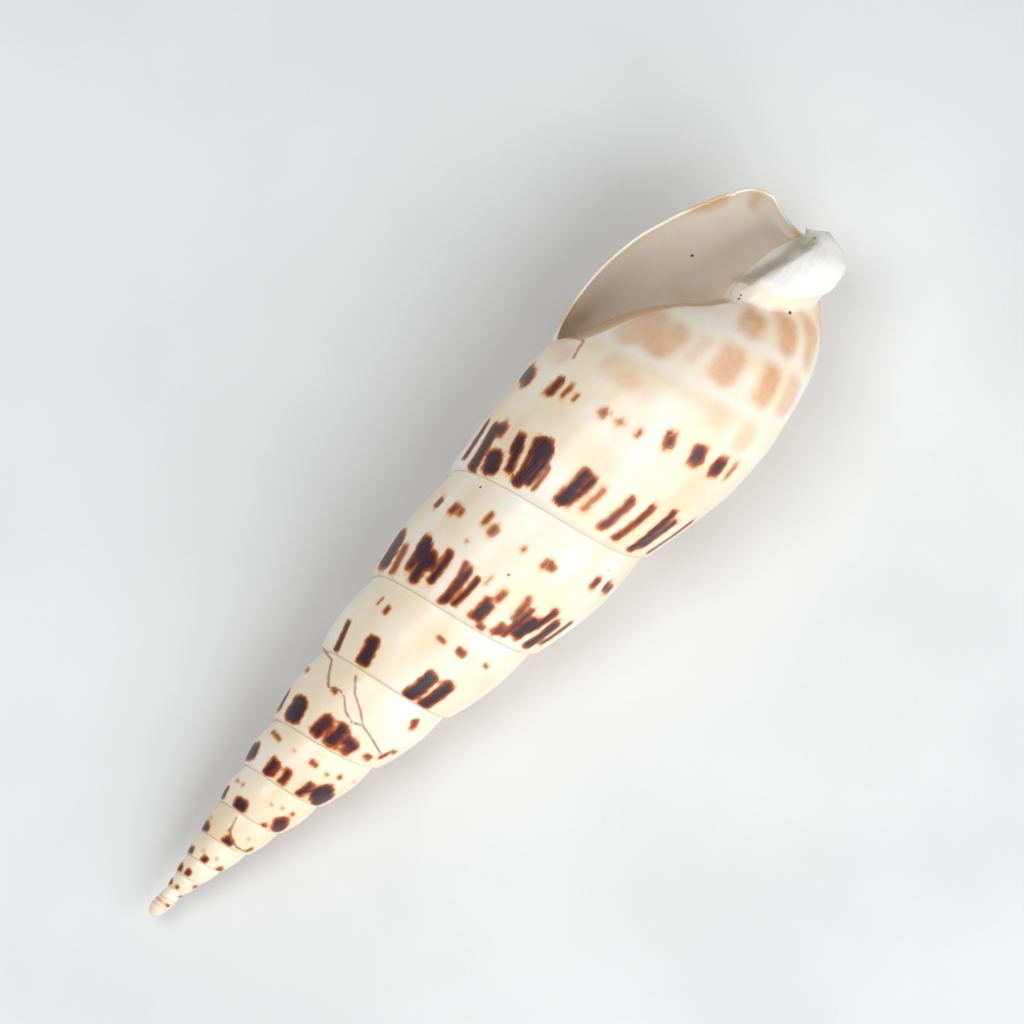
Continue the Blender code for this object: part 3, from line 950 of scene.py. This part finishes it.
def carried_values(skin, brown, tan):
    """The numbers that the materials read, for every vertex."""
    places = Places(skin)
    inner = (OLD_WALL, OLD_PILLAR)
    stains_and_shade = [mouth_box(mark) for mark in STAINS_AND_SHADE]
    return {
        "brown": pigment(places, brown, BROWN_EDGE) * suture_clearance(skin),
        "tan": pigment(places, tan, TAN_EDGE),
        "stain": pigment(places, stains_and_shade, STAIN_AND_SHADE_EDGE, as_seen),
        "break": break_distance(places),
        "depth": edge_depth(skin, places),
        "across": [vert[skin.across] for vert in skin.bm.verts],
        "old": [
            max(face[skin.zone] in inner for face in vert.link_faces) for vert in skin.bm.verts
        ],
    }


def make_shell():
    """The shell's object, the matrix that laid it down, and its specks in metres."""
    skin = grow_skin()
    brown, tan = all_boxes(Places(skin))
    refine(skin, brown)
    values = carried_values(skin, brown, tan)
    for face in skin.bm.faces:
        face.material_index = FINISHES.get(face[skin.zone], LINING)
        face.smooth = True
    specks = speck_places(skin)
    laid = lay_down(skin.bm)
    specks = [(laid @ spot * MM, size * MM, code) for spot, size, code in specks]
    bmesh.ops.scale(skin.bm, verts=skin.bm.verts, vec=(MM, MM, MM))
    mesh = bpy.data.meshes.new("shell_skin")
    skin.bm.to_mesh(mesh)
    skin.bm.free()
    for name, numbers in values.items():
        layer = mesh.attributes.new(name, "FLOAT", "POINT")
        layer.data.foreach_set("value", np.asarray(numbers, dtype=np.float32))
    shell = bpy.data.objects.new("shell_skin", mesh)
    bpy.context.scene.collection.objects.link(shell)
    return shell, laid, specks


def colour(code):
    """Linear colour from an sRGB hex value."""
    parts = [int(code[i:i + 2], 16) / 255 for i in (0, 2, 4)]
    return tuple(p / 12.92 if p <= 0.04045 else ((p + 0.055) / 1.055) ** 2.4 for p in parts) + (1.0,)


def add(tree, kind, settings=None, links=None):
    """Adds a node. Settings are its own properties or its inputs, and links feed its inputs."""
    node = tree.nodes.new("ShaderNode" + kind)
    for name, value in (settings or {}).items():
        if name == "ramp":
            while len(node.color_ramp.elements) < len(value):
                node.color_ramp.elements.new(1.0)
            for element, (place, code) in zip(node.color_ramp.elements, value):
                element.position = place
                element.color = colour(code)
        elif isinstance(name, str) and hasattr(node, name):
            setattr(node, name, value)
        else:
            node.inputs[name].default_value = value
    for name, source in (links or {}).items():
        if isinstance(source, bpy.types.Node):
            source = next(output for output in source.outputs if output.enabled)
        tree.links.new(source, node.inputs[name])
    return node


def new_material(name, settings, carried=()):
    """A material with its shader's own settings, and outputs of numbers that the skin carries."""
    material = bpy.data.materials.new(name)
    material.use_nodes = True
    tree = material.node_tree
    shader = tree.nodes["Principled BSDF"]
    for socket, value in settings.items():
        shader.inputs[socket].default_value = value
    stored = {key: add(tree, "Attribute", {"attribute_name": key}).outputs["Fac"] for key in carried}
    return material, tree, shader, stored


def finish_surface(tree, shader, body, lines, strength, height):
    """Gives the shader its colour, and growth lines of the given height in millimetres as relief."""
    settings = {"Strength": strength, "Distance": height * MM}
    bump = add(tree, "Bump", settings, {"Height": lines})
    tree.links.new(body, shader.inputs["Base Color"])
    tree.links.new(bump.outputs["Normal"], shader.inputs["Normal"])


def growth_lines(tree, along, across):
    """A pattern drawn out across the whorl, as growth lines are, with its sizes in millimetres."""
    uv = add(tree, "UVMap", {"uv_map": "growth"})
    stretch = add(tree, "Mapping", {"Scale": (1 / along, 1 / across, 1.0)}, {"Vector": uv})
    return add(tree, "TexNoise", {"Scale": 1.0, "Detail": 2.0}, {"Vector": stretch})


def patches(tree, size):
    """Soft patches of about the given size in millimetres."""
    place = add(tree, "TexCoord").outputs["Object"]
    return add(tree, "TexNoise", {"Scale": 1 / (size * MM), "Detail": 3.0}, {"Vector": place})


def layered(tree, body, layers):
    """Lays colours over a body in turn, each by its share; a colour is a hex value or an output."""
    for share, over in layers:
        mixed = add(tree, "Mix", {"data_type": "RGBA"}, {0: share, 6: body})
        if isinstance(over, str):
            mixed.inputs[7].default_value = colour(over)
        else:
            tree.links.new(over, mixed.inputs[7])
        body = mixed.outputs[2]
    return body


def band(tree, value, middle, reach, most=1.0):
    """A soft band: most where the value is the middle, and nothing past the reach."""
    away = add(tree, "Math", {"operation": "SUBTRACT", 1: middle}, {0: value})
    away = add(tree, "Math", {"operation": "ABSOLUTE"}, {0: away})
    return add(tree, "MapRange", {"From Min": reach, "From Max": 0.0, "To Max": most}, {"Value": away})


def with_specks(tree, body, specks):
    """Dots of dirt stuck to the surface, each at its own place on the shell."""
    place = add(tree, "TexCoord").outputs["Object"]
    layers = []
    for spot, size, code in specks:
        away = add(tree, "VectorMath", {"operation": "DISTANCE", 1: spot}, {0: place})
        fall = {"From Min": size, "From Max": 0.5 * size, "To Max": 0.95}
        share = add(tree, "MapRange", fall, {"Value": away.outputs["Value"]})
        layers.append((share, code))
    return layered(tree, body, layers)


def polished_shell(specks):
    """Aragonite, grown in layers and polished by the animal's mantle.

    To the eye it is a cream that shines, with brown pigment in streaks that follow the growth
    lines: purplish where it is thickest, dark brown round that, and rust where it thins out.
    """
    settings = {
        "Roughness": 0.32,
        "IOR": 1.56,
        "Specular IOR Level": 0.35,
        "Coat Weight": 0.12,
        "Coat Roughness": 0.12,
        "Subsurface Weight": 0.12,
        "Subsurface Radius": (1.0, 0.62, 0.4),
        "Subsurface Scale": 0.8 * MM,
    }
    carried = ("across", "depth", "tan", "brown", "break")
    material, tree, shader, stored = new_material("polished_shell", settings, carried)
    streaks = growth_lines(tree, 0.45, 5.0)
    waves = growth_lines(tree, 7.0, 30.0)
    grain = patches(tree, 1.2)
    clouds = patches(tree, 13.0)

    # cream, clouded, with the pale spiral bands
    tones = ((0.32, "F6DFBE"), (0.5, "FBEBD0"), (0.66, "FBF3E6"))
    cream = add(tree, "ValToRGB", {"ramp": tones}, {"Fac": clouds})
    pale = add(tree, "MapRange", {"From Min": 0.52, "From Max": 0.7, "To Max": 0.5}, {"Value": waves})
    layers = [(pale, "FDFAF4")]
    for middle, reach in PALE_BANDS:
        layers.append((band(tree, stored["across"], middle, reach, 0.6), "F9F2EC"))
    body = layered(tree, cream.outputs["Color"], layers)

    # tan squares, mottled
    mottled = add(tree, "Math", {"operation": "MULTIPLY_ADD", 1: 0.3, 2: 0.72}, {0: grain})
    tan_share = add(tree, "Math", {"operation": "MULTIPLY"}, {0: mottled, 1: stored["tan"]})
    tones = ((0.3, "DBA172"), (0.5, "E4AF82"), (0.7, "EEC29C"))
    tan = add(tree, "ValToRGB", {"ramp": tones}, {"Fac": patches(tree, 5.0)})

    # brown marks, streaked along the growth lines
    drawn = add(tree, "Math", {"operation": "MULTIPLY_ADD", 1: 0.5, 2: 0.75}, {0: streaks})
    inked = add(tree, "Math", {"operation": "MULTIPLY"}, {0: drawn, 1: stored["brown"]})
    tones = (
        (0.04, "FBE2BA"), (0.14, "F0BE84"), (0.28, "D08446"), (0.44, "A04F2A"), (0.62, "6E2F28"),
        (0.8, "46222A"), (1.0, "33222E"),
    )
    brown = add(tree, "ValToRGB", {"ramp": tones}, {"Fac": inked})
    cover = add(tree, "MapRange", {"From Min": 0.0, "From Max": 0.3}, {"Value": inked})

    # healed breaks
    settings = {"operation": "MULTIPLY_ADD", 1: 0.3}
    crack_line = add(tree, "Math", settings, {0: grain, 2: stored["break"]})
    settings = {"From Min": 0.2 + BREAK_WIDTH, "From Max": 0.18, "To Max": 0.85}
    crack = add(tree, "MapRange", settings, {"Value": crack_line})

    # the brownish strip where the whorl turns into the mouth, partly the callus's own tan and partly
    # painted shade where the surface turns away, with a yellow line along it
    settings = {"From Min": 9.4, "From Max": 8.2, "To Max": 0.8}
    strip = add(tree, "MapRange", settings, {"Value": stored["depth"]})
    settings = {"From Min": 1.98, "From Max": 1.92}
    behind = add(tree, "MapRange", settings, {"Value": stored["across"]})
    strip = add(tree, "Math", {"operation": "MULTIPLY"}, {0: strip, 1: behind})
    upper = add(tree, "MapRange", {"From Min": 1.7, "From Max": 1.5}, {"Value": stored["across"]})
    line = band(tree, stored["depth"], 9.1, 1.1)
    stripe = add(tree, "Math", {"operation": "MULTIPLY"}, {0: line, 1: upper})

    # darker brown along the sutures
    uv = add(tree, "UVMap", {"uv_map": "growth"})
    over = add(tree, "SeparateXYZ", {}, {"Vector": uv}).outputs["Y"]
    settings = {"From Min": 0.28, "From Max": 0.05, "To Max": 0.5}
    seam = add(tree, "MapRange", settings, {"Value": over})

    layers = [
        (tan_share, tan.outputs["Color"]),
        (cover, brown.outputs["Color"]),
        (crack, "95683F"),
        # the strip: partly the callus's tan, partly painted shade
        (strip, "BE9468"),
        (stripe, "DFAE62"),
        (seam, "A07C5A"),
    ]
    body = with_specks(tree, layered(tree, body, layers), specks)

    # fine growth lines, which stand out more on the brown marks
    settings = {"operation": "MULTIPLY_ADD", 1: 2.0, 2: 0.6}
    ridges = add(tree, "Math", settings, {0: stored["brown"]})
    lines = growth_lines(tree, 0.25, 7.0)
    ridges = add(tree, "Math", {"operation": "MULTIPLY"}, {0: lines, 1: ridges})
    finish_surface(tree, shader, body, ridges, 0.6, 0.06)
    return material


def mouth_glaze(specks):
    """The lining of the mouth: aragonite laid thin and smooth, with no pigment on the outer wall.

    To the eye it is a peach glaze, clear and whitish at the broken lip, with painted shade in brown on
    the old whorl.
    """
    settings = {
        "Roughness": 0.28,
        "IOR": 1.56,
        "Coat Weight": 0.2,
        "Coat Roughness": 0.1,
        "Subsurface Weight": 0.2,
        "Subsurface Radius": (1.0, 0.8, 0.62),
        "Subsurface Scale": 1.0 * MM,
    }
    carried = ("across", "depth", "old", "stain")
    material, tree, shader, stored = new_material("mouth_glaze", settings, carried)
    clouds = patches(tree, 8.0)
    settings = {"operation": "MULTIPLY_ADD", 1: 3.0}
    edge = add(tree, "Math", settings, {0: clouds, 2: stored["depth"]})

    # the lip's inner wall, from its edge inwards
    lip_share = add(tree, "MapRange", {"From Min": 1.0, "From Max": 61.0}, {"Value": edge})
    tones = ((0.0, "FAF3E6"), (0.03, "F8EBD2"), (0.08, "FFF5E8"), (0.35, "FFF0DF"), (1.0, "FCE4CA"))
    lip = add(tree, "ValToRGB", {"ramp": tones}, {"Fac": lip_share})

    # the old whorl's wall: painted shade in brown next to the edge, where it falls away into the
    # mouth, and cream towards the pillar
    old_share = add(tree, "MapRange", {"From Min": 1.0, "From Max": 21.0}, {"Value": edge})
    tones = ((0.0, "C59C74"), (0.15, "DDBA96"), (0.4, "F8E2CA"), (1.0, "FDEEDD"))
    wall = add(tree, "ValToRGB", {"ramp": tones}, {"Fac": old_share})
    front = add(tree, "MapRange", {"From Min": 1.6, "From Max": 2.0}, {"Value": stored["across"]})
    wall = layered(tree, wall.outputs["Color"], [(front, "FBF0E2")])

    cool = add(tree, "MapRange", {"From Min": 0.5, "From Max": 0.7, "To Max": 0.35}, {"Value": clouds})
    # yellow-tan over the stains; the same share also carries the painted shade of the trough and
    # margin boxes
    layers = [(stored["old"], wall), (cool, "F8F2EC"), (stored["stain"], "DDB478")]
    body = with_specks(tree, layered(tree, lip.outputs["Color"], layers), specks)
    finish_surface(tree, shader, body, growth_lines(tree, 1.2, 30.0), 0.15, 0.1)
    return material


def pillar_callus(specks):
    """The thick white shell of the twisted pillar, laid down in curved layers.

    To the eye it is a bright, slightly chalky white with faint beige growth lines.
    """
    settings = {
        "Roughness": 0.35,
        "IOR": 1.56,
        "Coat Weight": 0.15,
        "Coat Roughness": 0.15,
        "Subsurface Weight": 0.15,
        "Subsurface Radius": (1.0, 0.7, 0.5),
        "Subsurface Scale": 1.0 * MM,
    }
    material, tree, shader, stored = new_material("pillar_callus", settings, ("across", "stain"))
    lines = growth_lines(tree, 2.4, 5.0)
    tones = ((0.3, "F1EDE4"), (0.5, "F6F4F0"), (0.7, "FAF9F6"))
    white = add(tree, "ValToRGB", {"ramp": tones}, {"Fac": lines})
    root = add(tree, "MapRange", {"From Min": 2.42, "From Max": 2.26}, {"Value": stored["across"]})
    # grey-tan over the stains: on the pillar mostly painted shade in the trough below its upper edge,
    # besides a real yellow-brown stain at its end
    layers = [(root, "FAEFDF"), (stored["stain"], "AFA48C")]
    body = with_specks(tree, layered(tree, white.outputs["Color"], layers), specks)
    finish_surface(tree, shader, body, lines, 0.2, 0.1)
    return material


def shell_axes(laid):
    """The laid shell's own directions: along its axis, towards the lip's side, and away from it."""
    along = laid.to_3x3() @ Vector((1, 0, 0))
    lip_side = Vector((0, 1, 0))
    return along, lip_side, along.cross(lip_side)


def look_down(laid):
    along, lip_side, toward = shell_axes(laid)
    right = along * math.cos(VIEW_TURN) - lip_side * math.sin(VIEW_TURN)
    up = along * math.sin(VIEW_TURN) + lip_side * math.cos(VIEW_TURN)
    camera_data = bpy.data.cameras.new("camera")
    camera_data.lens = camera_data.sensor_width * VIEW_DISTANCE / VIEW_WIDTH
    camera_data.clip_start = VIEW_STARTS * MM
    camera = bpy.data.objects.new("camera", camera_data)
    bpy.context.scene.collection.objects.link(camera)
    place = (laid @ Vector(VIEW_PLACE) + toward * VIEW_DISTANCE) * MM
    camera.matrix_world = Matrix((right, up, toward)).transposed().to_4x4()
    camera.location = place
    bpy.context.scene.camera = camera


def light_studio(laid):
    """A soft light above the lip's side, a broad one that reaches the mouth, and a pale world."""
    along, lip_side, toward = shell_axes(laid)
    middle = laid @ Vector(VIEW_PLACE) * MM
    for name, size, watts, (out, side, ahead) in LIGHTS:
        light_data = bpy.data.lights.new(name, "AREA")
        light_data.shape = "DISK"
        light_data.size = size
        light_data.energy = watts
        light = bpy.data.objects.new(name, light_data)
        bpy.context.scene.collection.objects.link(light)
        way = (toward * out + lip_side * side + along * ahead) * LIGHT_DISTANCE
        light.location = middle + way
        light.rotation_euler = way.to_track_quat("Z", "Y").to_euler()
    world = bpy.data.worlds.new("studio")
    world.use_nodes = True
    background = world.node_tree.nodes["Background"]
    background.inputs["Color"].default_value = colour(WORLD_COLOUR)
    background.inputs["Strength"].default_value = WORLD_STRENGTH
    bpy.context.scene.world = world
    bpy.context.scene.view_settings.view_transform = "Standard"


def add_floor():
    """A painted tabletop: to the eye a matt, faintly clouded pale grey."""
    mesh = bpy.data.meshes.new("floor")
    bm = bmesh.new()
    bmesh.ops.create_grid(bm, x_segments=1, y_segments=1, size=FLOOR_REACH)
    bm.to_mesh(mesh)
    bm.free()
    material, tree, shader, _ = new_material("painted_tabletop", {"Roughness": 0.6, "IOR": 1.45})
    tones = ((0.3, "DFE1E1"), (0.7, "EAECEC"))
    shade = add(tree, "ValToRGB", {"ramp": tones}, {"Fac": patches(tree, 60.0)})
    tree.links.new(shade.outputs["Color"], shader.inputs["Base Color"])
    mesh.materials.append(material)
    floor = bpy.data.objects.new("floor", mesh)
    bpy.context.scene.collection.objects.link(floor)


shell_skin, laid, specks = make_shell()
for finish in (polished_shell, mouth_glaze, pillar_callus):
    shell_skin.data.materials.append(finish(specks))
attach(shell_skin, "root")
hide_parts("shell")
look_down(laid)
light_studio(laid)
add_floor()
